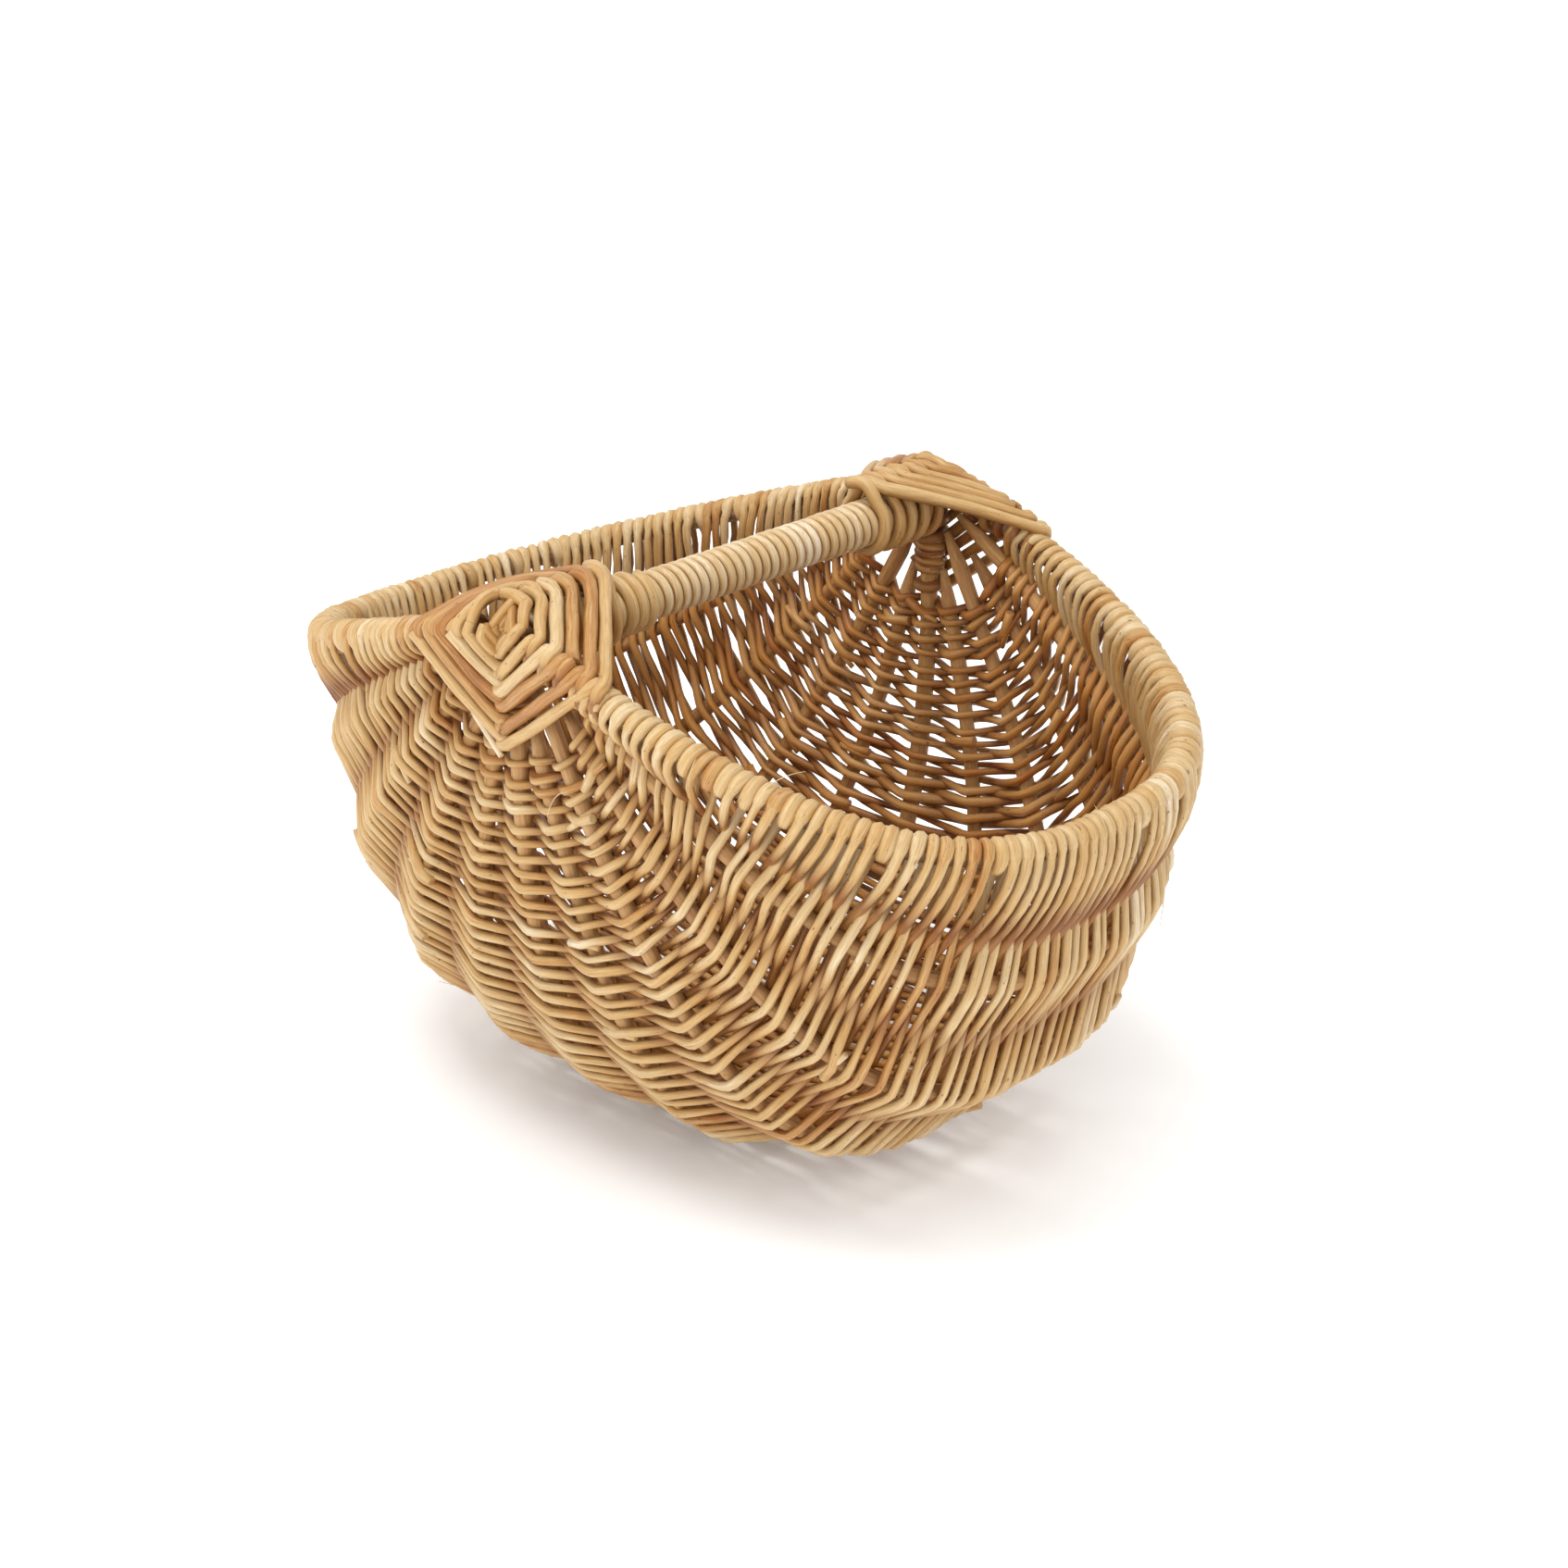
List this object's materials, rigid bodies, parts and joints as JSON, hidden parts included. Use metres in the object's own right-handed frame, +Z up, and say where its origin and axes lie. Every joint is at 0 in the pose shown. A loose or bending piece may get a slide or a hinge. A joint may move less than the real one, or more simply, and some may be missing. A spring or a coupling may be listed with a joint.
{
  "type": "egg collection basket",
  "caption": "Rib basket woven of willow rods on a saddle-shaped rim hoop, with a straight wrapped handle bar across the mouth and diamond lashings at its ends.",
  "frame": {"origin": "on the ground, under the middle of the handle bar and at the centre of the rim's plan", "axes": "+X along the length of the rim, +Y along the handle bar, +Z up"},
  "size_m": [0.4106, 0.2726, 0.2562],
  "materials": {
    "weaver": "satin round willow rods, honey to tan",
    "lashing": "satin round willow rods wound in a diamond",
    "skein": "satin split willow skein, close wound",
    "rib": "satin willow rod",
    "hoop": "satin willow rod, mostly covered"
  },
  "bodies": {
    "root": {"rim_hoop": "hoop", "rim_wrap_right": "weaver", "rim_wrap_left": "weaver", "handle_bar": "hoop", "handle_wrap": "skein", "keel_rib": "rib", "keel_wrap_front": "skein", "keel_wrap_rear": "skein", "rib_right_1": "rib", "rib_right_2": "rib", "rib_right_3": "rib", "rib_right_4": "rib", "rib_left_1": "rib", "rib_left_2": "rib", "rib_left_3": "rib", "rib_left_4": "rib", "gods_eye_front": "lashing", "gods_eye_rear": "lashing", "weave_band_1": "weaver", "weave_band_2": "weaver", "weave_band_3": "weaver", "weave_band_4": "weaver", "weave_band_5": "weaver", "weave_band_6": "weaver", "weave_band_7": "weaver", "weave_band_8": "weaver"}
  },
  "joints": []
}
